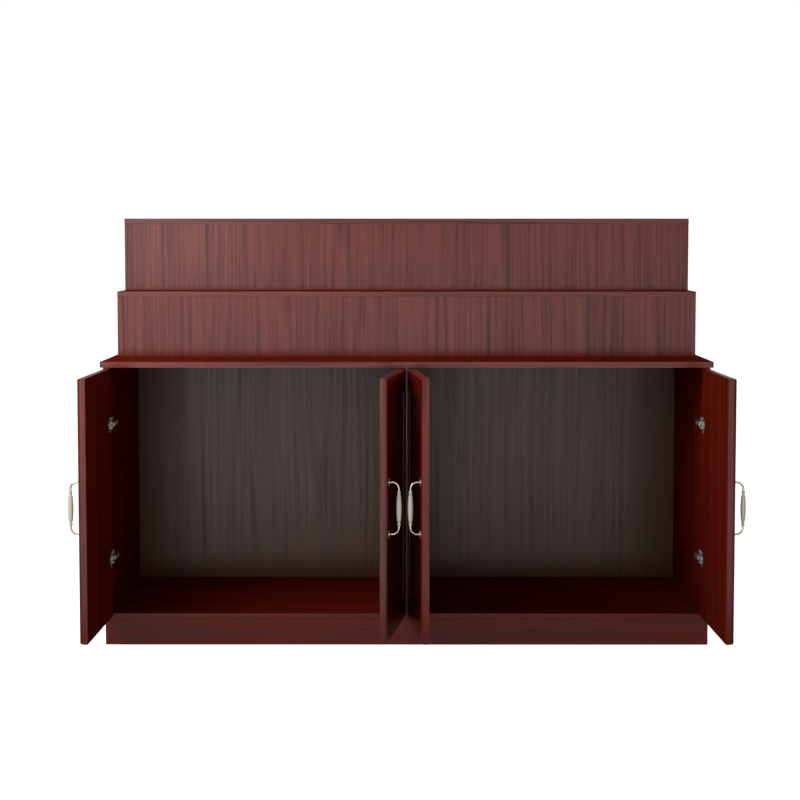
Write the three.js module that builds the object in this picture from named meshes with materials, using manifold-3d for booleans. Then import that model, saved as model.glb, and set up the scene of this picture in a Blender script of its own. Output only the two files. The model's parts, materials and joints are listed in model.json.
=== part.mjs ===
// Household altar cabinet: a low carcass with two bays behind four hinged doors, and two
// stepped tiers of hollow board on its countertop. The doors stand open.
//
// Units are millimetres. +Z is up and +Y points to the back. The origin is on the floor,
// under the middle of the carcass.

import * as THREE from "three";
import { mergeVertices } from "three/addons/utils/BufferGeometryUtils.js";
import Module from "manifold-3d";

const wasm = await Module();
wasm.setup();

// Boards
const PANEL = 16; // carcass sides, partition and plinth
const BOARD = 15; // tops, risers and the sides of the tiers
const BACK = 9; // back panels

// Carcass
const CARCASS_WIDTH = 1586;
const CARCASS_DEPTH = 610;
const PLINTH_HEIGHT = 68;
const BAY_HEIGHT = 649; // clear height inside a bay

// Countertop
const COUNTER_WIDTH = 1600;
const COUNTER_OVERHANG = 10; // in front of the carcass
const COUNTER_CORNER = 4; // radius of the two front corners
const CORNER_SEGMENTS = 5;

// Tiers: the setback is from the front of the carcass to the front of the riser
const NOSING = 2; // how far a tier's top stands in front of its riser
const MIDDLE = { name: "middle", width: 1572, setback: 240, riser: 162 };
const UPPER = { name: "upper", width: 1566, setback: 382, riser: 183.5 };

// Doors
const DOOR_WIDTH = 393.5;
const DOOR_HEIGHT = 652;
const DOOR_THICKNESS = 20;
const DOOR_BOTTOM = 78; // height of a door's lower edge above the floor
const DOOR_STANDOFF = 2.5; // gap between a closed door and the carcass
const SIDE_REVEAL = 1.5; // from the outer face of a side panel to the hinge edge of its door
const CENTRE_GAP = 4; // between the hinge edges of the two inner doors
const PIVOT_INSET = 6.5; // hinge axis, in from the hinge edge and from the front face

// Door moulding: depths are measured from the back face
const EASING = 0.8; // broken arris round the back face
const EDGE_FLAT = 13.4; // square part of the edge
const QUIRK_DEPTH = 1.8;
const QUIRK_WIDTH = 1.4;
const BEAD_INSET = 0.6;
const BEAD_STEPS = 4;
const STILE = 55; // flat border round the panel
const COVE = 4; // radius of the cove that runs round the panel
const COVE_STEPS = 3;
const COVE_FLAT = 4; // flat bottom of the cove
const PANEL_SLOPE = 22; // width of the slope up to the panel's field
const FIELD_DROP = 0.6; // the field lies this far below the border

// Hinges: places along the door are measured from its hinge edge
const LOWER_HINGE = 154; // its middle, up from the door's lower edge
const UPPER_HINGE = 146; // its middle, down from the door's upper edge
const CUP_CENTRE = 22.5;
const CUP_BORE = 17.5; // radius of the bore in the door
const CUP_BORE_DEPTH = 12;
const CUP_RADIUS = 17.2;
const CUP_WALL = 1;
const CUP_DEPTH = 11.5;
const CUP_SEGMENTS = 16;
const FLANGE = 1.2; // thickness of the cup's flange
const FLANGE_HALF_WIDTH = 19;
const FLANGE_HALF_HEIGHT = 21;
const LINK_START = 16;
const LINK_END = 34;
const LINK_RISE = 10; // how far the links stand out of the door's back
const LINK_PLATE = 2;
const ARM_HALF_HEIGHT = 6;
const ARM_NEAR = 22.5; // side of the arm's tip next to the hinge edge
const ARM_FAR = 28.5; // side of the arm away from the carcass panel
const ARM_TIP = 7.5; // the tip's reach in front of the carcass
const ARM_LENGTH = 62; // the arm's reach behind the carcass front
const ARM_SETBACK = 2; // the arm's body starts this far behind the carcass front
const ARM_CHAMFER = 2; // at the tip's far corner, and where the tip leaves the body
const TAIL_CUT = { x: 5, y: 8 }; // slanted corner at the arm's rear end
const WING_HEIGHT = 34; // mounting plate
const WING_LENGTH = 26;
const WING_START = 24;
const WING_THICKNESS = 3;

// Handles: a grip between two metal elbows on each door
const HANDLE_HEIGHT = 410; // its middle above the floor
const HANDLE_INSET = 32; // its axis from the door's free edge
const HALF_SPAN = 64; // from its middle to a rosette's axis
const HANDLE_REACH = 24; // from the door's face to the grip's axis
const ROSETTE_RADIUS = 11.5;
const ROSETTE_THICKNESS = 2.5;
const ROSETTE_EASE = 1.2; // slanted rim
const ROSETTE_FILLET = 1.4; // at the foot of the elbow
const ROSETTE_SEGMENTS = 14;
const ELBOW_RADIUS = 2.6;
const ELBOW_SIDES = 10;
const ELBOW_STEPS = 8;
const BEND_RADIUS = 16.5;
const ELBOW_DROP = 21; // from a rosette's axis down to the grip's collar
const COLLAR_RADIUS = 4.4;
const COLLAR_HEIGHT = 5.6;
const COLLAR_EASE = 1.2;
const NECK_RADIUS = 3.7;
const BARREL_HALF = 30; // half the length of the grip's barrel
const BARREL_END_RADIUS = 5.2;
const BARREL_RADIUS = 6.7;
const BARREL_STEPS = 8;
const GRIP_SEGMENTS = 12;

const GAP = 0.3; // between pieces that touch on a door

// Door angles from closed, in degrees, as they stand open
const DOORS = [
  { name: "outer_left", open: 91.1, hand: 1, outer: true },
  { name: "inner_left", open: 83.4, hand: -1, outer: false },
  { name: "inner_right", open: 85, hand: 1, outer: false },
  { name: "outer_right", open: 91.1, hand: -1, outer: true },
];

// Levels and planes that follow from the sizes above
const FRONT = -CARCASS_DEPTH / 2;
const REAR = CARCASS_DEPTH / 2;
const BACK_FACE = REAR - BACK;
const SIDE_OUTER = CARCASS_WIDTH / 2;
const SIDE_INNER = SIDE_OUTER - PANEL;
const BAY_FLOOR = PLINTH_HEIGHT + BOARD;
const CARCASS_TOP = BAY_FLOOR + BAY_HEIGHT;
const COUNTER_TOP = CARCASS_TOP + BOARD;

const rosewood = { color: 0x6a2119, roughness: 0.32, metalness: 0 };
const darkwood = { color: 0x3a1a14, roughness: 0.5, metalness: 0 };
const gold = { color: 0xe6cf9c, roughness: 0.2, metalness: 1 };
const ceramic = { color: 0xf2ecd8, roughness: 0.25, metalness: 0 };
const steel = { color: 0xb9b6b2, roughness: 0.3, metalness: 1 };

const cabinet = new THREE.Group();

// Makes a named mesh with its own material.
function piece(name, geometry, look) {
  const mesh = new THREE.Mesh(geometry, new THREE.MeshStandardMaterial(look));
  mesh.name = name;
  return mesh;
}

// Solids for joining and cutting, and back to a three.js geometry.
function solidOf(geometry) {
  const bare = geometry.clone();
  bare.deleteAttribute("normal");
  bare.deleteAttribute("uv");
  const merged = mergeVertices(bare, 1e-4);
  const triVerts = new Uint32Array(merged.index.array);
  const vertProperties = new Float32Array(merged.attributes.position.array);
  return new wasm.Manifold(new wasm.Mesh({ numProp: 3, vertProperties, triVerts }));
}

function geometryOf(solid) {
  const mesh = solid.getMesh();
  const geometry = new THREE.BufferGeometry();
  geometry.setAttribute("position", new THREE.BufferAttribute(new Float32Array(mesh.vertProperties), 3));
  geometry.setIndex(new THREE.BufferAttribute(new Uint32Array(mesh.triVerts), 1));
  return geometry;
}

function join(geometries) {
  const solids = geometries.map(solidOf);
  return geometryOf(solids.reduce((whole, next) => whole.add(next)));
}

// A box between two corners, which may be given in any order.
function boxBetween(a, b) {
  const low = new THREE.Vector3(...a).min(new THREE.Vector3(...b));
  const high = new THREE.Vector3(...a).max(new THREE.Vector3(...b));
  const size = high.clone().sub(low);
  const middle = low.clone().add(high).multiplyScalar(0.5);
  return new THREE.BoxGeometry(size.x, size.y, size.z).translate(middle.x, middle.y, middle.z);
}

function board(name, a, b, look) {
  cabinet.add(piece(name, boxBetween(a, b), look));
}

// The carcass: sides, partition, bay floors, plinth and back.
function addCarcass() {
  for (const [side, hand] of [["left", -1], ["right", 1]]) {
    const outer = hand * SIDE_OUTER;
    const inner = hand * SIDE_INNER;
    board(`side_panel_${side}`, [outer, FRONT, 0], [inner, REAR, CARCASS_TOP], rosewood);
    const floorLow = [inner, FRONT, PLINTH_HEIGHT];
    const floorHigh = [hand * PANEL / 2, BACK_FACE, BAY_FLOOR];
    board(`bottom_board_${side}`, floorLow, floorHigh, darkwood);
  }
  board("plinth", [-SIDE_INNER, FRONT, 0], [SIDE_INNER, FRONT + PANEL, PLINTH_HEIGHT], rosewood);
  board("back_panel", [-SIDE_INNER, BACK_FACE, 0], [SIDE_INNER, REAR, CARCASS_TOP], darkwood);
  cabinet.add(piece("centre_partition", partitionGeometry(), darkwood));
}

// The partition stands on the floor behind the plinth, so its front lower corner is notched.
function partitionGeometry() {
  const outline = new THREE.Shape();
  outline.moveTo(FRONT + PANEL, 0);
  outline.lineTo(BACK_FACE, 0);
  outline.lineTo(BACK_FACE, CARCASS_TOP);
  outline.lineTo(FRONT, CARCASS_TOP);
  outline.lineTo(FRONT, PLINTH_HEIGHT);
  outline.lineTo(FRONT + PANEL, PLINTH_HEIGHT);
  outline.closePath();
  const geometry = new THREE.ExtrudeGeometry(outline, { depth: PANEL, bevelEnabled: false });
  // the outline's own axes are turned onto Y and Z, and the thickness onto X
  const turn = new THREE.Matrix4().makeBasis(
    new THREE.Vector3(0, 1, 0), new THREE.Vector3(0, 0, 1), new THREE.Vector3(1, 0, 0));
  return geometry.applyMatrix4(turn).translate(-PANEL / 2, 0, 0);
}

function addCountertop() {
  const half = COUNTER_WIDTH / 2;
  const front = FRONT - COUNTER_OVERHANG;
  const r = COUNTER_CORNER;
  const outline = new THREE.Shape();
  outline.moveTo(-half, REAR);
  outline.lineTo(-half, front + r);
  outline.absarc(-half + r, front + r, r, Math.PI, 1.5 * Math.PI, false);
  outline.lineTo(half - r, front);
  outline.absarc(half - r, front + r, r, 1.5 * Math.PI, 2 * Math.PI, false);
  outline.lineTo(half, REAR);
  outline.closePath();
  const geometry = new THREE.ExtrudeGeometry(
    outline, { depth: BOARD, bevelEnabled: false, curveSegments: CORNER_SEGMENTS });
  cabinet.add(piece("countertop", geometry.translate(0, 0, CARCASS_TOP), rosewood));
}

// A tier is a hollow box: riser between two sides, a top over them and a thin back.
function addTier(tier, base) {
  const half = tier.width / 2;
  const inner = half - BOARD;
  const front = FRONT + tier.setback;
  const top = base + tier.riser;
  board(`${tier.name}_side_left`, [-half, front, base], [-inner, REAR, top], rosewood);
  board(`${tier.name}_side_right`, [inner, front, base], [half, REAR, top], rosewood);
  board(`${tier.name}_riser`, [-inner, front, base], [inner, front + BOARD, top], rosewood);
  board(`${tier.name}_back`, [-inner, BACK_FACE, base], [inner, REAR, top], darkwood);
  board(`${tier.name}_top`, [-half, front - NOSING, top], [half, REAR, top + BOARD], rosewood);
  return top + BOARD;
}

// The door's moulding as rings round it: each is how far it lies in from the door's edge,
// and its depth from the back face.
function doorRings() {
  const front = DOOR_THICKNESS;
  const beadStart = EDGE_FLAT + QUIRK_WIDTH;
  const bead = front - beadStart;
  const rings = [[EASING, 0], [0, EASING], [0, EDGE_FLAT]];
  rings.push([QUIRK_DEPTH, EDGE_FLAT], [QUIRK_DEPTH, beadStart]);
  for (let i = 0; i <= BEAD_STEPS; i++) {
    const turn = (i / BEAD_STEPS) * Math.PI / 2;
    rings.push([BEAD_INSET + bead * (1 - Math.cos(turn)), beadStart + bead * Math.sin(turn)]);
  }
  for (let i = 0; i <= COVE_STEPS; i++) {
    const turn = (i / COVE_STEPS) * Math.PI / 2;
    rings.push([STILE + COVE * (1 - Math.cos(turn)), front - COVE * Math.sin(turn)]);
  }
  const slopeStart = STILE + COVE + COVE_FLAT;
  rings.push([slopeStart, front - COVE], [slopeStart + PANEL_SLOPE, front - FIELD_DROP]);
  return rings;
}

// A closed slab through the rings, from (0, 0) to (width, height) in X and Z. Its back face
// is at y = 0 and its front looks along -Y.
function mouldedSlab(width, height, rings) {
  const positions = [];
  for (const [inset, depth] of rings) {
    const right = width - inset;
    const top = height - inset;
    positions.push(inset, -depth, inset, right, -depth, inset, right, -depth, top, inset, -depth, top);
  }
  const last = 4 * (rings.length - 1);
  const index = [0, 2, 1, 0, 3, 2, last, last + 1, last + 2, last, last + 2, last + 3];
  for (let ring = 0; ring < rings.length - 1; ring++) {
    for (let corner = 0; corner < 4; corner++) {
      const a = 4 * ring + corner;
      const b = 4 * ring + (corner + 1) % 4;
      index.push(a, b, b + 4, a, b + 4, a + 4);
    }
  }
  const geometry = new THREE.BufferGeometry();
  geometry.setAttribute("position", new THREE.Float32BufferAttribute(positions, 3));
  geometry.setIndex(index);
  return geometry;
}

// The door's slab in its group: x = 0 and y = 0 are the hinge axis. The bores take the cups.
function doorGeometry(hand) {
  const slab = mouldedSlab(DOOR_WIDTH, DOOR_HEIGHT, doorRings());
  const left = hand > 0 ? -PIVOT_INSET : PIVOT_INSET - DOOR_WIDTH;
  slab.translate(left, DOOR_THICKNESS - PIVOT_INSET, DOOR_BOTTOM);
  let solid = solidOf(slab);
  for (const height of hingeHeights()) {
    const bore = new THREE.CylinderGeometry(CUP_BORE, CUP_BORE, 2 * CUP_BORE_DEPTH, CUP_SEGMENTS);
    bore.translate(hand * (CUP_CENTRE - PIVOT_INSET), DOOR_THICKNESS - PIVOT_INSET, height);
    solid = solid.subtract(solidOf(bore));
  }
  return geometryOf(solid);
}

function hingeHeights() {
  return [DOOR_BOTTOM + LOWER_HINGE, DOOR_BOTTOM + DOOR_HEIGHT - UPPER_HINGE];
}

// The cup: a shallow dish, an oval flange on the door's back and two links that stand out.
function cupGeometry(hand) {
  const inner = CUP_RADIUS - CUP_WALL;
  const dish = new THREE.LatheGeometry([
    new THREE.Vector2(0, -CUP_DEPTH),
    new THREE.Vector2(CUP_RADIUS, -CUP_DEPTH),
    new THREE.Vector2(CUP_RADIUS, GAP + FLANGE / 2),
    new THREE.Vector2(inner, GAP + FLANGE / 2),
    new THREE.Vector2(inner, CUP_WALL - CUP_DEPTH),
    new THREE.Vector2(0, CUP_WALL - CUP_DEPTH),
  ], CUP_SEGMENTS);
  const outline = new THREE.Shape();
  outline.absellipse(0, 0, FLANGE_HALF_WIDTH, FLANGE_HALF_HEIGHT, 0, 2 * Math.PI, false, 0);
  const mouth = new THREE.Path();
  mouth.absellipse(0, 0, inner, inner, 0, 2 * Math.PI, true, 0);
  outline.holes.push(mouth);
  const flange = new THREE.ExtrudeGeometry(
    outline, { depth: FLANGE, bevelEnabled: false, curveSegments: CUP_SEGMENTS / 2 });
  flange.rotateX(-Math.PI / 2).translate(0, GAP, 0);
  const parts = [dish, flange];
  for (const side of [-1, 1]) {
    const near = side * (ARM_HALF_HEIGHT + GAP);
    const far = near + side * LINK_PLATE;
    const start = hand * (LINK_START - CUP_CENTRE);
    const end = hand * (LINK_END - CUP_CENTRE);
    parts.push(boxBetween([start, CUP_WALL / 2 - CUP_DEPTH, near], [end, LINK_RISE, far]));
  }
  return join(parts);
}

// The arm: an outline in plan that reaches from the panel it is screwed to into the open
// cup, and a wing plate on that panel. x is measured from the hinge edge, y from the front.
function armGeometry(hand, panelFace) {
  const points = [
    [panelFace, ARM_SETBACK],
    [ARM_NEAR - ARM_CHAMFER, ARM_SETBACK],
    [ARM_NEAR, 0],
    [ARM_NEAR, -ARM_TIP],
    [ARM_FAR - ARM_CHAMFER, -ARM_TIP],
    [ARM_FAR, ARM_CHAMFER - ARM_TIP],
    [ARM_FAR, ARM_LENGTH - TAIL_CUT.y],
    [ARM_FAR - TAIL_CUT.x, ARM_LENGTH],
    [panelFace, ARM_LENGTH],
  ];
  const outline = new THREE.Shape(points.map(([x, y]) => new THREE.Vector2(hand * x, y)));
  const arm = new THREE.ExtrudeGeometry(outline, { depth: 2 * ARM_HALF_HEIGHT, bevelEnabled: false });
  arm.translate(0, 0, -ARM_HALF_HEIGHT);
  const wingTop = hand * (panelFace + WING_THICKNESS);
  const wing = boxBetween(
    [hand * panelFace, WING_START, -WING_HEIGHT / 2],
    [wingTop, WING_START + WING_LENGTH, WING_HEIGHT / 2]);
  return join([arm, wing]);
}

// The elbow's centre line, for the upper end of a handle: straight out from inside the
// rosette, a quarter bend, and straight down to the grip's collar.
class ElbowLine extends THREE.Curve {
  getPoint(t, target = new THREE.Vector3()) {
    const start = GAP + ROSETTE_THICKNESS / 2;
    const straight = HANDLE_REACH - BEND_RADIUS - start;
    const bend = BEND_RADIUS * Math.PI / 2;
    const drop = ELBOW_DROP - BEND_RADIUS;
    const along = t * (straight + bend + drop);
    if (along < straight) {
      return target.set(0, -start - along, HALF_SPAN);
    }
    if (along > straight + bend) {
      return target.set(0, -HANDLE_REACH, HALF_SPAN - BEND_RADIUS - (along - straight - bend));
    }
    const turn = (along - straight) / BEND_RADIUS;
    const out = start + straight + BEND_RADIUS * Math.sin(turn);
    return target.set(0, -out, HALF_SPAN - BEND_RADIUS * (1 - Math.cos(turn)));
  }
}

// One half of a handle's metal: rosette and bent arm. y = 0 is the door's face.
function elbowGeometry() {
  const section = new THREE.Shape();
  section.absarc(0, 0, ELBOW_RADIUS, 0, 2 * Math.PI, false);
  const arm = new THREE.ExtrudeGeometry(section, {
    steps: ELBOW_STEPS, curveSegments: ELBOW_SIDES / 2, bevelEnabled: false, extrudePath: new ElbowLine() });
  const rosette = new THREE.LatheGeometry([
    new THREE.Vector2(0, 0),
    new THREE.Vector2(ROSETTE_RADIUS, 0),
    new THREE.Vector2(ROSETTE_RADIUS, ROSETTE_THICKNESS - ROSETTE_EASE),
    new THREE.Vector2(ROSETTE_RADIUS - ROSETTE_EASE, ROSETTE_THICKNESS),
    new THREE.Vector2(ELBOW_RADIUS + ROSETTE_FILLET, ROSETTE_THICKNESS),
    new THREE.Vector2(ELBOW_RADIUS, ROSETTE_THICKNESS + ROSETTE_FILLET),
    new THREE.Vector2(0, ROSETTE_THICKNESS + ROSETTE_FILLET),
  ], ROSETTE_SEGMENTS);
  rosette.rotateX(Math.PI).translate(0, -GAP, HALF_SPAN);
  return join([arm, rosette]);
}

// The grip: a barrel with a neck and a collar at each end, in one piece.
function gripGeometry() {
  const top = HALF_SPAN - ELBOW_DROP - GAP;
  const collarFoot = top - COLLAR_HEIGHT;
  const end = [
    new THREE.Vector2(NECK_RADIUS, BARREL_HALF + BARREL_END_RADIUS - NECK_RADIUS),
    new THREE.Vector2(NECK_RADIUS, collarFoot),
    new THREE.Vector2(COLLAR_RADIUS, collarFoot + COLLAR_EASE),
    new THREE.Vector2(COLLAR_RADIUS, top - COLLAR_EASE),
    new THREE.Vector2(COLLAR_RADIUS - COLLAR_EASE, top),
    new THREE.Vector2(0, top),
  ];
  const profile = end.map((point) => new THREE.Vector2(point.x, -point.y)).reverse();
  for (let i = 0; i <= BARREL_STEPS; i++) {
    const along = 2 * i / BARREL_STEPS - 1;
    const swell = Math.cos(along * Math.PI / 2);
    const radius = THREE.MathUtils.lerp(BARREL_END_RADIUS, BARREL_RADIUS, swell);
    profile.push(new THREE.Vector2(radius, BARREL_HALF * along));
  }
  profile.push(...end);
  const grip = new THREE.LatheGeometry(profile, GRIP_SEGMENTS);
  return grip.rotateX(Math.PI / 2).translate(0, -HANDLE_REACH, 0);
}

function addDoor({ name, open, hand, outer }) {
  const edge = outer ? -hand * (SIDE_OUTER - SIDE_REVEAL) : hand * CENTRE_GAP / 2;
  const panelFace = outer ? PANEL - SIDE_REVEAL : (PANEL - CENTRE_GAP) / 2;
  const group = new THREE.Group();
  const pivotDepth = FRONT - DOOR_STANDOFF - DOOR_THICKNESS + PIVOT_INSET;
  group.position.set(edge + hand * PIVOT_INSET, pivotDepth, 0);
  group.rotation.z = -hand * THREE.MathUtils.degToRad(open);
  group.add(piece(`door_${name}`, doorGeometry(hand), rosewood));

  const handleAlong = hand * (DOOR_WIDTH - HANDLE_INSET - PIVOT_INSET);
  const upper = piece(`handle_${name}_upper`, elbowGeometry(), gold);
  const lower = piece(`handle_${name}_lower`, elbowGeometry().rotateY(Math.PI), gold);
  const grip = piece(`handle_${name}_grip`, gripGeometry(), ceramic);
  for (const mesh of [upper, lower, grip]) {
    mesh.position.set(handleAlong, -PIVOT_INSET, HANDLE_HEIGHT);
    group.add(mesh);
  }

  const levels = ["lower", "upper"];
  hingeHeights().forEach((height, i) => {
    const cup = piece(`hinge_cup_${name}_${levels[i]}`, cupGeometry(hand), steel);
    cup.position.set(hand * (CUP_CENTRE - PIVOT_INSET), DOOR_THICKNESS - PIVOT_INSET, height);
    group.add(cup);
    const arm = piece(`hinge_arm_${name}_${levels[i]}`, armGeometry(hand, panelFace), steel);
    arm.position.set(edge, FRONT, height);
    cabinet.add(arm);
  });
  cabinet.add(group);
}

addCarcass();
addCountertop();
const middleTop = addTier(MIDDLE, COUNTER_TOP);
addTier(UPPER, middleTop);
DOORS.forEach(addDoor);

export default cabinet;
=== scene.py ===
"""The looks of a household altar cabinet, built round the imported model.

Lengths are in metres, +Z is up and +Y points to the back. A door's pieces are made in the
door's own frame, where the hinge axis is the origin, the door is closed and its face looks
along -Y, and are then placed at the door's resting angle.
"""

import json
import math

import bpy
import numpy as np
from mathutils import Matrix, Vector


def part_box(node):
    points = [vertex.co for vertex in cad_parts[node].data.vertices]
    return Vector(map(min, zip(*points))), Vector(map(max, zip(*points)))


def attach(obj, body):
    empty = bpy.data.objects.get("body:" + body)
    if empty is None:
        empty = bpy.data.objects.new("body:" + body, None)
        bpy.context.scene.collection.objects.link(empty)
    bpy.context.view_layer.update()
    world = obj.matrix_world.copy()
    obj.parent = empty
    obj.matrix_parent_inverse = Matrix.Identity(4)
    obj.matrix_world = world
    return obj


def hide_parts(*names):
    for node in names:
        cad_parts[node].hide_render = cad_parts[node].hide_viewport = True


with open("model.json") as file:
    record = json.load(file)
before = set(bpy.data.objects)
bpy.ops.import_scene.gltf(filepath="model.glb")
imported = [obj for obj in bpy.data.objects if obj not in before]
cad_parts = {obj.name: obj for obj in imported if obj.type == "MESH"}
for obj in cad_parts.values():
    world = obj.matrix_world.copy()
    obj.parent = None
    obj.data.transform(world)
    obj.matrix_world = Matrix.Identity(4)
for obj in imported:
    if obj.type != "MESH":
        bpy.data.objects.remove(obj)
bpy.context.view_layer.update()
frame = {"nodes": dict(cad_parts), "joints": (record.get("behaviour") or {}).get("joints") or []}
nodes = frame["nodes"]

MM = 0.001

# Camera
CAMERA_PLACE = (-0.0063, -5.795, 1.0723)
CAMERA_PITCH = 4.43  # degrees down
CAMERA_YAW = 0.115  # degrees to the left
CAMERA_LENS = 94.85

# Studio light: brightness of the surroundings, where 1 is plain white
FILL = 0.1
FILL_BEHIND = 0.25
FRONT_LEFT = 1.3  # the broad glow in front of the cabinet
FRONT_RIGHT = 0.9
BAND_LEFT = 1.9  # added in a low band along the horizon
BAND_RIGHT = 0.9
BAND_HEIGHT = -0.065  # sine of the angle above the horizon
FLOOR_GLOW = 0.95
SIDE_BLEND = 0.2  # half the width of the change from left to right
FLOOR_SIZE = 400

# Softboxes: name, place, point aimed at, size and brightness
SOFTBOXES = (
    ("key", (-1.6, -1.2, 1.9), (0, -0.3, 0.6), (1.2, 1.2), 4.6),
    ("front_left", (-1.2, -2.8, 1.5), (0, -0.3, 0.7), (1.2, 1.2), 1.6),
    ("reflector_left", (-1.3, -3.0, 0.01), (-1.3, -3.0, 1), (2.6, 3.0), 0.9),
    ("reflector_right", (1.3, -3.0, 0.01), (1.3, -3.0, 1), (2.6, 3.0), 0.6),
    ("rear", (2.4, 3.4, 2.2), (0, 0, 0.6), (2.0, 2.0), 1.5),
)

# Veneer
LEAF_WIDTH = 0.21
RINGS_PER_METRE = 95
WAVER = 0.03  # how far a fibre strays sideways

# Boards
BOARD_ROUNDING = 0.7 * MM
COUNTER_ROUNDING = 1.6 * MM

# Doors
ARRIS = 0.8 * MM  # rounding round the back face
EDGE_FLAT = 13.4 * MM  # square part of the edge, from the back face
QUIRK_DEPTH = 1.8 * MM
QUIRK_WIDTH = 1.4 * MM
BEAD_INSET = 0.6 * MM
STILE = 55 * MM  # flat border round the panel
COVE = 4 * MM
COVE_FLAT = 4 * MM
PANEL_SLOPE = 22 * MM
FIELD_DROP = 0.6 * MM  # the field lies this far below the border

# Handles
ROSETTE_RADIUS = 11.5 * MM
ROSETTE_THICKNESS = 2.5 * MM
ROD_RADIUS = 2.6 * MM
BEND_RADIUS = 16.5 * MM
GRIP_RADIUS = 6.7 * MM  # at the middle of the barrel
ELBOW_DROP = 21 * MM  # from a rosette's axis down to the grip's collar

# Hinges
CUP_BORE = 17.5 * MM
CUP_RADIUS = 17.2 * MM
CUP_DEPTH = 11.5 * MM
CUP_WALL = 1 * MM
CUP_FLANGE = (0.3 * MM, 1.5 * MM)  # the flange's faces above the door's back
FLANGE_RADIUS = 18.8 * MM
EAR_REACH = 21 * MM
EAR_SCREW = 18.7 * MM  # from the cup's axis
LINK_SPAN = (-6.5 * MM, 11.5 * MM)  # across the door, from the cup's axis
LINK_RISE = 9.8 * MM
LINK_FACES = (6.3 * MM, 8.3 * MM)  # above and below the cup's axis
PIN_INSET = 4 * MM  # from a link's ends and top to its pins
PIN_PROFILE = [  # radius and height
    (0, 0), (1.9 * MM, 0), (1.9 * MM, 0.3 * MM), (1.2 * MM, 0.6 * MM), (0, 0.7 * MM)]
ARM_HALF_HEIGHT = 6 * MM
ARM_DEPTH = 7.5 * MM  # of the arm itself, which stands on its base
ARM_TIP = 7.5 * MM  # reach in front of the carcass
ARM_TIP_DEPTH = 6 * MM
ARM_LENGTH = 62 * MM  # reach behind the carcass front
ARM_SCREWS = (15 * MM, 43 * MM)  # behind the carcass front
ARM_SCREW_RECESS = 1.2 * MM
WING_START = 24 * MM
WING_LENGTH = 26 * MM
WING_HALF_HEIGHT = 17 * MM
WING_CORNER = 5 * MM
WING_THICKNESS = 2.4 * MM
WING_SCREW = 12.2 * MM  # from the arm's middle


# ---------------------------------------------------------------- materials


class NodeTree:
    """Builds the nodes of a new material, or of the world when one is given. Inputs are given
    by name or number, as values or as sockets."""

    def __init__(self, name, world=None):
        self.material = world or bpy.data.materials.new(name)
        self.material.use_nodes = True
        self.tree = self.material.node_tree
        self.shader = self.tree.nodes["Background" if world else "Principled BSDF"]

    def add(self, kind, inputs=None, **settings):
        node = self.tree.nodes.new("ShaderNode" + kind)
        for key, value in settings.items():
            setattr(node, key, value)
        self.fill(node, inputs or {})
        return node

    def fill(self, node, inputs):
        for key, value in inputs.items():
            if isinstance(value, bpy.types.NodeSocket):
                self.tree.links.new(value, node.inputs[key])
            else:
                node.inputs[key].default_value = value

    def math(self, operation, *values):
        node = self.add("Math", operation=operation)
        self.fill(node, dict(enumerate(values)))
        return node.outputs[0]

    def noise(self, vector, scale, detail=2.0, roughness=0.5):
        inputs = {"Vector": vector, "Scale": scale, "Detail": detail, "Roughness": roughness}
        return self.add("TexNoise", inputs).outputs["Fac"]

    def spread(self, value, low, high, to_low=0.0, to_high=1.0):
        """Maps low..high smoothly onto to_low..to_high."""
        node = self.add("MapRange", interpolation_type="SMOOTHSTEP")
        self.fill(node, {0: value, 1: low, 2: high, 3: to_low, 4: to_high})
        return node.outputs[0]

    def mix(self, factor, low, high):
        node = self.add("Mix", data_type="RGBA", clamp_factor=True)
        self.fill(node, {"Factor": factor, 6: low, 7: high})
        return node.outputs[2]

    def bump(self, height, strength, distance):
        inputs = {"Height": height, "Strength": strength, "Distance": distance}
        return self.add("Bump", inputs).outputs["Normal"]


def veneer_place(made, grain):
    """Place on the veneer: across the fibres and along them. Each board gets a shift of its
    own, and the fibres waver a little along their length."""
    place = made.add("TexCoord").outputs["Object"]
    if grain == "X":
        place = made.add("Mapping", {"Vector": place, "Rotation": (0, math.pi / 2, 0)}).outputs[0]
    shift = made.add("ObjectInfo").outputs["Random"]
    split = made.add("SeparateXYZ", {0: place})
    side = made.math("MULTIPLY_ADD", split.outputs[1], 0.83, split.outputs[0])
    across = made.math("MULTIPLY_ADD", shift, 7.3, side)
    along = made.math("MULTIPLY_ADD", shift, 3.1, split.outputs[2])
    slow = made.add("CombineXYZ", {
        0: made.math("MULTIPLY", across, 3.0), 2: made.math("MULTIPLY", along, 1.3)})
    waver = made.math("SUBTRACT", made.noise(slow.outputs[0], 1.0, 2.0), 0.5)
    return made.math("MULTIPLY_ADD", waver, WAVER, across), along


def veneer_arches(made, across, along):
    """Growth rings, cut as nested arches in the middle of each leaf of veneer."""
    leaf_place = made.math("DIVIDE", across, LEAF_WIDTH)
    leaf = made.math("FLOOR", leaf_place)
    centred = made.math("SUBTRACT", made.math("SUBTRACT", leaf_place, leaf), 0.5)
    off_centre = made.math("MULTIPLY", centred, LEAF_WIDTH)
    seed = made.add("TexWhiteNoise", {"W": leaf}, noise_dimensions="1D").outputs["Value"]
    lift = made.math("FRACT", made.math("MULTIPLY_ADD", seed, 4.5, made.math("MULTIPLY", along, 0.5)))
    rise = made.math("MULTIPLY", made.math("SUBTRACT", lift, 0.5), 0.11)
    square = made.math("MULTIPLY_ADD", off_centre, off_centre, made.math("MULTIPLY", rise, rise))
    ring = made.math("MULTIPLY", made.math("SQRT", square), RINGS_PER_METRE)
    place = made.add("CombineXYZ", {0: ring, 1: made.math("MULTIPLY", leaf, 3.7)})
    return made.noise(place.outputs[0], 1.0, 3.0, 0.65)


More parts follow.
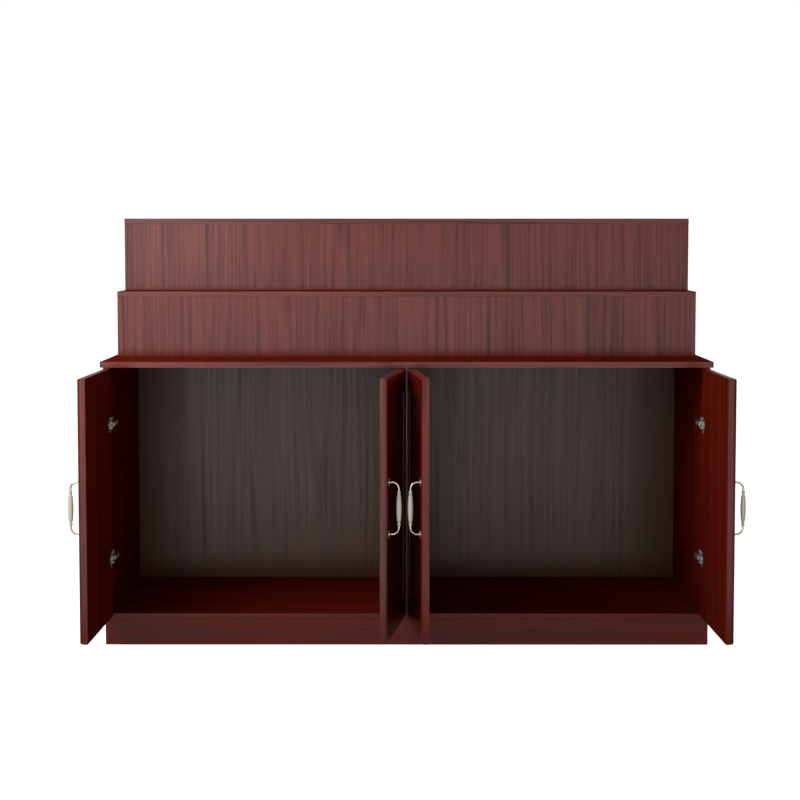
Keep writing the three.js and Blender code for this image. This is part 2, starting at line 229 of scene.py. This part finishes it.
def wood_material(name, grain, roughness, specular, light, deep, dark):
    """Lacquered veneer. grain is the axis that the fibres run along, X or Z."""
    made = NodeTree(name)
    across, along = veneer_place(made, grain)

    def streaks(width, length, detail, seed):
        inputs = {0: made.math("DIVIDE", across, width), 1: seed, 2: made.math("DIVIDE", along, length)}
        return made.noise(made.add("CombineXYZ", inputs).outputs[0], 1.0, detail, 0.6)

    rings = veneer_arches(made, across, along)
    broad = streaks(0.045, 1.6, 1.0, 1.0)
    middle = streaks(0.011, 0.7, 2.0, 5.0)
    fine = streaks(0.0035, 0.3, 2.0, 9.0)
    pores = made.spread(streaks(0.0011, 0.05, 1.0, 13.0), 0.6, 0.74)

    tone = made.math("MULTIPLY", rings, 0.26)
    for part, share in ((middle, 0.34), (fine, 0.28), (broad, 0.12)):
        tone = made.math("MULTIPLY_ADD", part, share, tone)
    body = made.mix(made.spread(tone, 0.4, 0.58), deep, light)
    veined = made.mix(made.spread(tone, 0.45, 0.36), body, dark)
    colour = made.mix(made.math("MULTIPLY", pores, 0.5), veined, dark)

    gloss = made.spread(tone, 0.38, 0.6, roughness + 0.05, roughness - 0.04)
    relief = made.math("SUBTRACT", made.math("MULTIPLY", fine, 0.4), pores)
    normal = made.bump(relief, 0.22, 0.12 * MM)
    made.fill(made.shader, {
        "Base Color": colour, "Roughness": gloss, "Normal": normal, "Specular IOR Level": specular})
    return made.material


def metal_material(name, colour, tint, roughness):
    """Plated metal: a slow drift of tint and a fine drift of gloss."""
    made = NodeTree(name)
    place = made.add("TexCoord").outputs["Object"]
    drift = made.noise(place, 60.0, 3.0)
    grit = made.noise(place, 900.0, 2.0)
    gloss = made.spread(grit, 0.3, 0.7, roughness - 0.03, roughness + 0.05)
    normal = made.bump(grit, 0.08, 0.03 * MM)
    made.fill(made.shader, {
        "Base Color": made.mix(drift, colour, tint), "Metallic": 1.0,
        "Roughness": gloss, "Normal": normal})
    return made.material


def glaze_material(name, colour, tint):
    """Cream glaze with a faint mottle under a clear coat."""
    made = NodeTree(name)
    place = made.add("TexCoord").outputs["Object"]
    mottle = made.noise(place, 180.0, 4.0)
    pool = made.noise(place, 35.0, 2.0)
    shade = made.math("ADD", made.math("MULTIPLY", mottle, 0.4), made.math("MULTIPLY", pool, 0.6))
    normal = made.bump(pool, 0.1, 0.2 * MM)
    made.fill(made.shader, {
        "Base Color": made.mix(made.spread(shade, 0.35, 0.65), colour, tint),
        "Roughness": made.spread(mottle, 0.3, 0.7, 0.14, 0.22), "Normal": normal,
        "Coat Weight": 0.6, "Coat Roughness": 0.06})
    return made.material


ROSEWOOD = {
    "light": (0.24, 0.02, 0.008, 1), "deep": (0.12, 0.008, 0.0035, 1), "dark": (0.03, 0.002, 0.001, 1)}
INTERIOR = {
    "light": (0.13, 0.048, 0.022, 1), "deep": (0.07, 0.023, 0.01, 1), "dark": (0.02, 0.006, 0.003, 1)}

# Each pair is the polished look of the faces that show, and the satin look of the others
ROSEWOOD_UPRIGHT = (
    wood_material("rosewood_upright", "Z", 0.2, 0.35, **ROSEWOOD),
    wood_material("rosewood_upright_satin", "Z", 0.5, 0.0, **ROSEWOOD))
ROSEWOOD_LENGTHWISE = (
    wood_material("rosewood_lengthwise", "X", 0.2, 0.35, **ROSEWOOD),
    wood_material("rosewood_lengthwise_satin", "X", 0.5, 0.0, **ROSEWOOD))
INTERIOR_UPRIGHT = (
    wood_material("interior_upright", "Z", 0.26, 0.32, **INTERIOR),
    wood_material("interior_upright_satin", "Z", 0.5, 0.0, **INTERIOR))
gold = metal_material("pale_gold", (0.93, 0.78, 0.6, 1), (0.9, 0.72, 0.53, 1), 0.16)
nickel = metal_material("nickel", (0.92, 0.9, 0.88, 1), (0.84, 0.82, 0.8, 1), 0.34)
glaze = glaze_material("cream_glaze", (0.95, 0.89, 0.72, 1), (0.9, 0.82, 0.64, 1))


# ---------------------------------------------------------------- mesh helpers


def dress(obj, material):
    obj.data.materials.clear()
    obj.data.materials.append(material)


def mesh_object(name, parts, smooth_angle=32):
    """One object from closed shells, each given as (points, faces)."""
    points, faces = [], []
    for part_points, part_faces in parts:
        start = len(points)
        points += [tuple(p) for p in part_points]
        faces += [[start + i for i in face] for face in part_faces]
    mesh = bpy.data.meshes.new(name)
    mesh.from_pydata(points, [], faces)
    mesh.update()
    mesh.shade_smooth()
    mesh.set_sharp_from_angle(angle=math.radians(smooth_angle))
    obj = bpy.data.objects.new(name, mesh)
    bpy.context.scene.collection.objects.link(obj)
    return obj


def lathe(profile, segments):
    """A closed turning about Z. The profile, as (radius, height), starts and ends on the axis
    and goes up round the outside."""
    inner = profile[1:-1]
    points = [(0, 0, profile[0][1])]
    for radius, height in inner:
        for i in range(segments):
            turn = 2 * math.pi * i / segments
            points.append((radius * math.cos(turn), radius * math.sin(turn), height))
    points.append((0, 0, profile[-1][1]))
    faces = []
    last = len(points) - 1
    for i in range(segments):
        j = (i + 1) % segments
        faces.append([0, 1 + j, 1 + i])
        for ring in range(len(inner) - 1):
            a = 1 + ring * segments
            faces.append([a + i, a + j, a + segments + j, a + segments + i])
        top = 1 + (len(inner) - 1) * segments
        faces.append([top + i, top + j, last])
    return points, faces


def moved(part, matrix):
    points, faces = part
    if matrix.determinant() < 0:
        faces = [face[::-1] for face in faces]
    return [matrix @ Vector(p) for p in points], faces


def arc(centre, radius, start, end, steps):
    """Points on an arc in a plane, angles in degrees."""
    turns = np.radians(np.linspace(start, end, steps + 1))
    return [(centre[0] + radius * math.cos(t), centre[1] + radius * math.sin(t)) for t in turns]


def extruded(outline, low, high):
    """A prism along Z through an anticlockwise outline in X and Y."""
    count = len(outline)
    points = [(x, y, low) for x, y in outline] + [(x, y, high) for x, y in outline]
    faces = [list(range(count))[::-1], list(range(count, 2 * count))]
    for i in range(count):
        j = (i + 1) % count
        faces.append([i, j, count + j, count + i])
    return points, faces


def tube(path, radius, sides):
    """A round rod along a path that lies in a plane of constant X, with flat ends."""
    points, faces = [], []
    for k, here in enumerate(path):
        before = path[max(k - 1, 0)]
        after = path[min(k + 1, len(path) - 1)]
        way = (Vector(after) - Vector(before)).normalized()
        side = Vector((1, 0, 0))
        up = way.cross(side)
        for i in range(sides):
            turn = 2 * math.pi * i / sides
            points.append(Vector(here) + radius * (math.cos(turn) * side + math.sin(turn) * up))
    for k in range(len(path) - 1):
        for i in range(sides):
            j = (i + 1) % sides
            a = k * sides
            faces.append([a + i, a + j, a + sides + j, a + sides + i])
    faces.append(list(range(sides))[::-1])
    faces.append(list(range((len(path) - 1) * sides, len(path) * sides)))
    return points, faces


def settle(obj):
    """Makes an object's modifiers part of its mesh."""
    evaluated = obj.evaluated_get(bpy.context.evaluated_depsgraph_get())
    result = bpy.data.meshes.new_from_object(evaluated)
    obj.modifiers.clear()
    spent = obj.data
    obj.data = result
    bpy.data.meshes.remove(spent)


def shade(obj, smooth_angle=32):
    """Smooth shading that keeps the large faces flat beside their rounded edges."""
    obj.data.shade_smooth()
    obj.data.set_sharp_from_angle(angle=math.radians(smooth_angle))
    weighted = obj.modifiers.new("weighted", "WEIGHTED_NORMAL")
    weighted.mode = "FACE_AREA"
    weighted.weight = 100
    weighted.keep_sharp = True


def boolean(obj, other, operation):
    """Cuts other out of obj, or joins it on, for good. other is used up."""
    modifier = obj.modifiers.new("cut", "BOOLEAN")
    modifier.operation = operation
    modifier.object = other
    modifier.solver = "EXACT"
    settle(obj)
    bpy.data.objects.remove(other)


def copy_of(template, name):
    obj = bpy.data.objects.new(name, template.data.copy())
    bpy.context.scene.collection.objects.link(obj)
    return obj


# ---------------------------------------------------------------- carcass and tiers


def round_edges(obj, width):
    """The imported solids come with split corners, so these are welded before the bevel."""
    weld = obj.modifiers.new("weld", "WELD")
    weld.merge_threshold = 0.01 * MM
    bevel = obj.modifiers.new("rounding", "BEVEL")
    bevel.width = width
    bevel.segments = 3
    bevel.limit_method = "ANGLE"
    bevel.angle_limit = math.radians(40)
    settle(obj)


def dress_faces(obj, looks, is_polished):
    """Gives each face the first look if it is polished, else the second."""
    obj.data.materials.clear()
    for look in looks:
        obj.data.materials.append(look)
    for face in obj.data.polygons:
        face.material_index = 0 if is_polished(face.normal) else 1


def make_board(node, looks, rounding):
    obj = copy_of(nodes[node], f"veneered_{node}")
    round_edges(obj, rounding)
    shade(obj)
    dress_faces(obj, looks, lambda normal: normal.y < -0.4)
    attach(obj, "carcass")
    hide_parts(node)


BOARD_LOOKS = {
    "side_panel_left": ROSEWOOD_UPRIGHT,
    "side_panel_right": ROSEWOOD_UPRIGHT,
    "bottom_board_left": ROSEWOOD_LENGTHWISE,
    "bottom_board_right": ROSEWOOD_LENGTHWISE,
    "plinth": ROSEWOOD_LENGTHWISE,
    "back_panel": INTERIOR_UPRIGHT,
    "centre_partition": ROSEWOOD_UPRIGHT,
    "countertop": ROSEWOOD_LENGTHWISE,
}
for tier in ("middle", "upper"):
    BOARD_LOOKS[f"{tier}_side_left"] = ROSEWOOD_UPRIGHT
    BOARD_LOOKS[f"{tier}_side_right"] = ROSEWOOD_UPRIGHT
    BOARD_LOOKS[f"{tier}_riser"] = ROSEWOOD_UPRIGHT
    BOARD_LOOKS[f"{tier}_back"] = INTERIOR_UPRIGHT
    BOARD_LOOKS[f"{tier}_top"] = ROSEWOOD_LENGTHWISE

for name, looks in BOARD_LOOKS.items():
    make_board(name, looks, COUNTER_ROUNDING if name == "countertop" else BOARD_ROUNDING)


# ---------------------------------------------------------------- doors


class DoorFrame:
    """Where a door hangs: its own frame, and the boxes of its nodes in that frame."""

    def __init__(self, joint):
        self.name = joint["name"].replace("_hinge", "")
        self.body = joint["child"]
        self.hand = -joint["axis"][2]  # 1 where the door reaches to +X from its hinges
        opened = math.radians(-joint["range_deg"][0])
        turn = Matrix.Rotation(-self.hand * opened, 4, "Z")
        self.matrix = Matrix.Translation(joint["pos_m"]) @ turn

    def box(self, node):
        """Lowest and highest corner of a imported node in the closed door's frame."""
        inverse = self.matrix.inverted()
        points = np.array([inverse @ v.co for v in nodes[node].data.vertices])
        return Vector(points.min(0)), Vector(points.max(0))

    def place(self, obj, local, slot, *replaced):
        obj.matrix_world = self.matrix @ local
        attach(obj, self.body)
        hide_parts(*replaced)


def door_rings(thickness):
    """The door's section: how far each ring lies in from the door's edge, and its depth from
    the back face."""
    bead_start = EDGE_FLAT + QUIRK_WIDTH
    bead = thickness - bead_start
    cove_centre = (STILE + COVE, thickness)
    rings = arc((ARRIS, ARRIS), ARRIS, 270, 180, 3)
    rings += [(0, EDGE_FLAT - 0.3 * MM), (0.3 * MM, EDGE_FLAT)]
    rings += [(QUIRK_DEPTH, EDGE_FLAT), (QUIRK_DEPTH, bead_start)]
    rings += arc((BEAD_INSET + bead, bead_start), bead, 180, 90, 10)
    rings += arc(cove_centre, COVE, 180, 270, 6)
    slope_start = STILE + COVE + COVE_FLAT
    rings += [(slope_start, thickness - COVE)]
    slope_end = slope_start + PANEL_SLOPE
    rings += [(slope_end - 1 * MM, thickness - FIELD_DROP - 0.1 * MM), (slope_end, thickness - FIELD_DROP)]
    return rings


def door_slab(low, high):
    """The moulded slab between two corners. Its back face is at high.y."""
    points, faces = [], []
    rings = door_rings(high.y - low.y)
    for inset, depth in rings:
        left, right = low.x + inset, high.x - inset
        bottom, top = low.z + inset, high.z - inset
        y = high.y - depth
        points += [(left, y, bottom), (right, y, bottom), (right, y, top), (left, y, top)]
    for ring in range(len(rings) - 1):
        for corner in range(4):
            a = 4 * ring + corner
            b = 4 * ring + (corner + 1) % 4
            faces.append([a, b, b + 4, a + 4])
    last = 4 * (len(rings) - 1)
    faces += [[3, 2, 1, 0], [last, last + 1, last + 2, last + 3]]
    return points, faces


def make_door(door):
    node = f"door_{door.name}"
    low, high = door.box(node)
    obj = mesh_object(f"moulded_{node}", [door_slab(low, high)])
    for level in ("lower", "upper"):
        cup_low, cup_high = door.box(f"hinge_cup_{door.name}_{level}")
        centre = (cup_low + cup_high) / 2
        bore = lathe([(0, -12 * MM), (CUP_BORE, -12 * MM), (CUP_BORE, 12 * MM), (0, 12 * MM)], 64)
        stand = Matrix.Rotation(-math.pi / 2, 4, "X")
        cutter = mesh_object("bore", [moved(bore, Matrix.Translation((centre.x, high.y, centre.z)) @ stand)])
        boolean(obj, cutter, "DIFFERENCE")
    shade(obj)
    dress_faces(obj, ROSEWOOD_UPRIGHT, lambda normal: normal.y < 0.6)
    door.place(obj, Matrix.Identity(4), "rosewood", node)


# ---------------------------------------------------------------- handles


def elbow_template(reach, half_span):
    """Rosette and bent rod of a handle's upper end, in the handle's frame: the origin on the
    door's face at the handle's middle."""
    lift = Matrix.Translation((0, 0, half_span)) @ Matrix.Rotation(math.pi / 2, 4, "X")
    rim = 0.9 * MM
    base = 0.3 * MM
    step = base + 1.1 * MM
    crown = base + ROSETTE_THICKNESS
    profile = [(0, base), (ROSETTE_RADIUS - 0.3 * MM, base), (ROSETTE_RADIUS, base + 0.3 * MM)]
    profile += arc((ROSETTE_RADIUS - rim, step), rim, 0, 90, 5)
    profile += [(ROSETTE_RADIUS - 2.4 * MM, step + rim)]
    profile += arc((ROD_RADIUS + 2.2 * MM, crown + 2.2 * MM - 0.4 * MM), 2.2 * MM, 270, 180, 6)
    profile += [(0, crown + 1.8 * MM)]
    rosette = mesh_object("elbow", [moved(lathe(profile, 64), lift)])
    straight = reach - BEND_RADIUS
    path = [(0, -1.2 * MM, half_span), (0, -straight / 2, half_span)]
    for y, z in arc((-straight, half_span - BEND_RADIUS), BEND_RADIUS, 90, 180, 18):
        path.append((0, y, z))
    path.append((0, -reach, half_span - ELBOW_DROP))
    rod = mesh_object("rod", [tube(path, ROD_RADIUS, 32)])
    boolean(rosette, rod, "UNION")
    rosette.data.shade_smooth()
    rosette.data.set_sharp_from_angle(angle=math.radians(40))
    return rosette


def grip_template(reach, half_length, barrel_radius):
    """Barrel, necks and collars of a grip, turned about a vertical axis."""
    collar = 4.4 * MM
    collar_height = 5.6 * MM
    neck = 3.7 * MM
    barrel_half = 30 * MM
    barrel_end = 5.2 * MM
    top = half_length
    foot = top - collar_height
    end = [(barrel_end, barrel_half + 0.6 * MM), (barrel_end - 0.5 * MM, barrel_half + 1.1 * MM)]
    end += [(neck + 0.2 * MM, barrel_half + 1.5 * MM), (neck - 0.2 * MM, (barrel_half + foot) / 2)]
    end += [(neck, foot - 0.5 * MM), (neck, foot)]
    middle = (top + foot) / 2
    for t in np.radians(np.linspace(-75, 75, 11)):
        bulge = math.cos(t)
        radius = neck - 0.2 * MM + (collar - neck + 0.2 * MM) * bulge
        end.append((radius, middle + collar_height / 2 * math.sin(t)))
    end += [(ROD_RADIUS + 0.4 * MM, top), (0, top)]
    profile = [(r, -h) for r, h in reversed(end)]
    for along in np.linspace(-1, 1, 41):
        swell = math.cos(along * math.pi / 2)
        profile.append((barrel_end + (barrel_radius - barrel_end) * swell, barrel_half * along))
    profile += end
    return mesh_object("grip", [moved(lathe(profile, 64), Matrix.Translation((0, -reach, 0)))], 28)


def make_handle(door, templates):
    prefix = f"handle_{door.name}"
    face = door.box(f"door_{door.name}")[0].y
    low, high = door.box(f"{prefix}_grip")
    middle = (low + high) / 2
    local = Matrix.Translation((middle.x, face, middle.z))
    turned = local @ Matrix.Rotation(math.pi, 4, "Y")
    pieces = (("upper", local, gold, "handle_metal"), ("lower", turned, gold, "handle_metal"),
              ("grip", local, glaze, "handle_grip"))
    for part, matrix, material, slot in pieces:
        template = templates["grip" if part == "grip" else "elbow"]
        obj = copy_of(template, f"fine_{prefix}_{part}")
        dress(obj, material)
        door.place(obj, matrix, slot, f"{prefix}_{part}")


# ---------------------------------------------------------------- hinges


def soften(obj, width):
    bevel = obj.modifiers.new("soften", "BEVEL")
    bevel.width = width
    bevel.segments = 2
    bevel.limit_method = "ANGLE"
    bevel.angle_limit = math.radians(40)
    bevel.use_clamp_overlap = False
    settle(obj)


def part_of(obj):
    """An object's points and faces. The object is used up."""
    part = [v.co.copy() for v in obj.data.vertices], [list(f.vertices) for f in obj.data.polygons]
    bpy.data.objects.remove(obj)
    return part


def cylinder(radius, low, high, segments=48):
    return lathe([(0, low), (radius, low), (radius, high), (0, high)], segments)


def box_part(low, high):
    outline = [(low[0], low[1]), (high[0], low[1]), (high[0], high[1]), (low[0], high[1])]
    return extruded(outline, low[2], high[2])


def rounded(low, high, radius, steps=6):
    """Outline of a rectangle with round corners."""
    outline = []
    corners = ((high[0], high[1], 0), (low[0], high[1], 90), (low[0], low[1], 180), (high[0], low[1], 270))
    for x, y, start in corners:
        centre = (x + (radius if x == low[0] else -radius), y + (radius if y == low[1] else -radius))
        outline += arc(centre, radius, start, start + 90, steps)
    return outline


def screw_part(radius, height):
    """Head of a cross-slotted screw, along Z from the face that it stands on."""
    shoulder = 0.3 * height
    profile = [(0, -0.4 * MM), (radius, -0.4 * MM), (radius, shoulder)]
    crown = height - shoulder
    for turn in np.radians(np.linspace(15, 75, 5)):
        profile.append((radius * math.cos(turn), shoulder + crown * math.sin(turn)))
    profile.append((0, height))
    head = mesh_object("head", [lathe(profile, 32)])
    long, wide, deep = 0.62 * radius, 0.16 * radius, shoulder
    for reach_x, reach_y in ((long, wide), (wide, long)):
        slot = mesh_object("slot", [box_part((-reach_x, -reach_y, deep), (reach_x, reach_y, 2 * height))])
        boolean(head, slot, "DIFFERENCE")
    return part_of(head)


def flange_outline():
    """A disc with an ear above and below."""
    outline = []
    for turn in np.radians(np.arange(0, 360, 3)):
        ear = np.clip((abs(math.sin(turn)) - 0.86) / 0.08, 0, 1)
        radius = FLANGE_RADIUS + (EAR_REACH - FLANGE_RADIUS) * ear * ear * (3 - 2 * ear)
        outline.append((radius * math.cos(turn), radius * math.sin(turn)))
    return outline


def hinge_cup_template():
    """Dish, flange and links. The origin is on the door's back at the cup's axis, +Y leads out
    of the door and the hinge edge is at -X."""
    stand = Matrix.Rotation(-math.pi / 2, 4, "X")
    inner = CUP_RADIUS - CUP_WALL
    corner = 1.5 * MM
    flange_low, flange_high = CUP_FLANGE
    rim = (flange_low + flange_high) / 2
    profile = [(0, -CUP_DEPTH)] + arc((CUP_RADIUS - corner, corner - CUP_DEPTH), corner, 270, 360, 4)
    profile += [(CUP_RADIUS, rim), (inner, rim)]
    profile += arc((inner - corner, CUP_WALL + corner - CUP_DEPTH), corner, 0, -90, 4)
    profile.append((0, CUP_WALL - CUP_DEPTH))
    flange = mesh_object("flange", [extruded(flange_outline(), flange_low, flange_high)])
    boolean(flange, mesh_object("hole", [cylinder(inner, -1 * MM, 3 * MM, 64)]), "DIFFERENCE")
    boolean(flange, mesh_object("dish", [lathe(profile, 64)]), "UNION")
    soften(flange, 0.3 * MM)
    parts = [moved(part_of(flange), stand)]
    screw = screw_part(2.1 * MM, 0.6 * MM)
    for side in (-1, 1):
        place = Matrix.Translation((0, flange_high, side * EAR_SCREW))
        parts.append(moved(screw, place @ stand))
        plate = rounded((LINK_SPAN[0], 1.2 * MM - CUP_DEPTH), (LINK_SPAN[1], LINK_RISE), 3.5 * MM)
        near, far = LINK_FACES
        low, high = (near, far) if side > 0 else (-far, -near)
        link = mesh_object("link", [extruded(plate, low, high)])
        soften(link, 0.35 * MM)
        parts.append(part_of(link))
        for x in (LINK_SPAN[0] + PIN_INSET, LINK_SPAN[1] - PIN_INSET):
            pin = lathe(PIN_PROFILE, 24)
            turn = Matrix.Identity(4) if side > 0 else Matrix.Rotation(math.pi, 4, "X")
            pin_place = Matrix.Translation((x, LINK_RISE - PIN_INSET, side * (far - 0.05 * MM)))
            parts.append(moved(pin, pin_place @ turn))
    return mesh_object("hinge_cup", parts, 35)


def hinge_arm_template(depth):
    """Arm, base and mounting plate. The origin is on the carcass panel at the carcass front,
    +X leads into the bay, and the arm's face is at depth."""
    near = depth - ARM_TIP_DEPTH
    under = depth - ARM_DEPTH
    outline = [(under, 4 * MM), (near - 1 * MM, 3 * MM), (near, 1 * MM), (near, 1.5 * MM - ARM_TIP)]
    outline += arc((depth - ARM_TIP_DEPTH / 2, ARM_TIP_DEPTH / 2 - ARM_TIP), ARM_TIP_DEPTH / 2, 180, 360, 10)
    outline += [(depth, ARM_LENGTH - 7 * MM)]
    outline += arc((depth - 4.5 * MM, ARM_LENGTH - 4.5 * MM), 4.5 * MM, 20, 80, 4)
    outline += [(under, ARM_LENGTH - 0.5 * MM)]
    arm = mesh_object("arm", [extruded(outline, -ARM_HALF_HEIGHT, ARM_HALF_HEIGHT)])
    base_low = (0.5 * WING_THICKNESS, 8 * MM, -0.78 * ARM_HALF_HEIGHT)
    base_high = (under + 0.5 * MM, ARM_LENGTH - 5 * MM, 0.78 * ARM_HALF_HEIGHT)
    boolean(arm, mesh_object("base", [box_part(base_low, base_high)]), "UNION")
    upright = Matrix.Rotation(math.pi / 2, 4, "Y")  # Z to +X, X to -Z
    wing_low = (-WING_HALF_HEIGHT, WING_START)
    wing_high = (WING_HALF_HEIGHT, WING_START + WING_LENGTH)
    wing_outline = rounded(wing_low, wing_high, WING_CORNER)
    wing = mesh_object("wing", [moved(extruded(wing_outline, 0, WING_THICKNESS), upright)])
    boolean(arm, wing, "UNION")
    for y in ARM_SCREWS:
        bore = mesh_object("bore", [moved(cylinder(3.9 * MM, depth - ARM_SCREW_RECESS, depth + 1 * MM),
                                          Matrix.Translation((0, y, 0)) @ upright)])
        boolean(arm, bore, "DIFFERENCE")
    soften(arm, 0.4 * MM)
    parts = [part_of(arm)]
    screw = screw_part(3.3 * MM, 1.1 * MM)
    for y in ARM_SCREWS:
        parts.append(moved(screw, Matrix.Translation((depth - ARM_SCREW_RECESS, y, 0)) @ upright))
    for side in (-1, 1):
        place = Matrix.Translation((WING_THICKNESS, WING_START + WING_LENGTH / 2, side * WING_SCREW))
        parts.append(moved(screw, place @ upright))
    return mesh_object("hinge_arm", parts, 35)


def make_hinges(door, cup_template):
    turn = Matrix.Identity(4) if door.hand > 0 else Matrix.Rotation(math.pi, 4, "Y")
    back = door.box(f"door_{door.name}")[1].y
    for level in ("lower", "upper"):
        cup_node = f"hinge_cup_{door.name}_{level}"
        low, high = door.box(cup_node)
        middle = (low + high) / 2
        cup = copy_of(cup_template, f"fine_{cup_node}")
        dress(cup, nickel)
        door.place(cup, Matrix.Translation((middle.x, back, middle.z)) @ turn, "hinge_steel", cup_node)

        arm_node = f"hinge_arm_{door.name}_{level}"
        low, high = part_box(arm_node)
        arm = hinge_arm_template(high.x - low.x)
        arm.name = f"fine_{arm_node}"
        panel = low.x if door.hand > 0 else high.x
        place = Matrix.Translation((panel, low.y + ARM_TIP, (low.z + high.z) / 2))
        arm.matrix_world = place @ turn
        dress(arm, nickel)
        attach(arm, "carcass")
        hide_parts(arm_node)


# ---------------------------------------------------------------- making it all

DOORS = [DoorFrame(joint) for joint in frame["joints"]]
first = DOORS[0]
face_y = first.box(f"door_{first.name}")[0].y
grip_low, grip_high = first.box(f"handle_{first.name}_grip")
elbow_high = first.box(f"handle_{first.name}_upper")[1]
handle_middle = (grip_low + grip_high) / 2
handle_reach = face_y - handle_middle.y
half_span = elbow_high.z - ROSETTE_RADIUS - handle_middle.z

templates = {
    "elbow": elbow_template(handle_reach, half_span),
    "grip": grip_template(handle_reach, (grip_high.z - grip_low.z) / 2, GRIP_RADIUS),
    "hinge_cup": hinge_cup_template(),
}
for door in DOORS:
    make_door(door)
    make_handle(door, templates)
    make_hinges(door, templates["hinge_cup"])
for template in templates.values():
    bpy.data.objects.remove(template)

# ---------------------------------------------------------------- studio


def floor_material():
    """Pale, and lit a little from within, so that it meets the background without a line."""
    made = NodeTree("studio_floor")
    place = made.add("TexCoord").outputs["Object"]
    tone = made.noise(place, 0.7, 2.0)
    made.fill(made.shader, {
        "Base Color": made.mix(tone, (0.8, 0.8, 0.8, 1), (0.83, 0.83, 0.83, 1)), "Roughness": 0.9,
        "Specular IOR Level": 0.0, "Emission Color": (1, 1, 1, 1), "Emission Strength": FLOOR_GLOW})
    return made.material


def make_floor():
    bpy.ops.mesh.primitive_plane_add(size=FLOOR_SIZE)
    floor = bpy.context.object
    floor.name = "studio_floor"
    dress(floor, floor_material())
    floor.visible_diffuse = False
    floor.visible_glossy = False


def make_world():
    """A broad glow in front, brighter towards the left and low over the horizon, and a weak
    fill all round. The camera sees plain white."""
    world = bpy.data.worlds.new("studio")
    bpy.context.scene.world = world
    made = NodeTree("studio", world)
    way = made.add("SeparateXYZ", {0: made.add("TexCoord").outputs["Generated"]})
    x, y, z = way.outputs
    broad = made.spread(x, -SIDE_BLEND, SIDE_BLEND, FRONT_LEFT, FRONT_RIGHT)
    off_band = made.math("ABSOLUTE", made.math("SUBTRACT", z, BAND_HEIGHT))
    band = made.math("MULTIPLY", made.spread(off_band, 0.03, 0.12, 1.0, 0.0),
                     made.spread(x, -SIDE_BLEND, SIDE_BLEND, BAND_LEFT, BAND_RIGHT))
    front = made.math("MULTIPLY", made.math("ADD", broad, band), made.spread(y, -0.97, -0.88, 1.0, 0.0))
    above = made.math("MULTIPLY", front, made.spread(z, -0.17, -0.06))
    fill = made.spread(y, -0.3, 0.3, FILL, FILL_BEHIND)
    light = made.math("ADD", above, fill)
    seen = made.add("LightPath").outputs["Is Camera Ray"]
    strength = made.add("Mix", {"Factor": seen, 2: light, 3: 1.0}, data_type="FLOAT")
    made.fill(made.shader, {"Color": (1, 1, 1, 1), "Strength": strength.outputs[0]})


def softbox(name, place, aim, size, brightness):
    """A rectangular area light of the given brightness, where 1 is plain white."""
    light = bpy.data.lights.new(name, "AREA")
    light.shape = "RECTANGLE"
    light.size, light.size_y = size
    light.energy = brightness * math.pi * size[0] * size[1]
    obj = bpy.data.objects.new(name, light)
    bpy.context.scene.collection.objects.link(obj)
    obj.location = place
    obj.rotation_euler = (Vector(aim) - Vector(place)).to_track_quat("-Z", "Y").to_euler()
    obj.visible_camera = False


make_floor()
make_world()
for settings in SOFTBOXES:
    softbox(*settings)

camera = bpy.data.cameras.new("camera")
camera.lens = CAMERA_LENS
camera_object = bpy.data.objects.new("camera", camera)
bpy.context.scene.collection.objects.link(camera_object)
camera_object.location = CAMERA_PLACE
camera_object.rotation_euler = (math.radians(90 - CAMERA_PITCH), 0, math.radians(CAMERA_YAW))
bpy.context.scene.camera = camera_object
bpy.context.scene.view_settings.view_transform = "Standard"
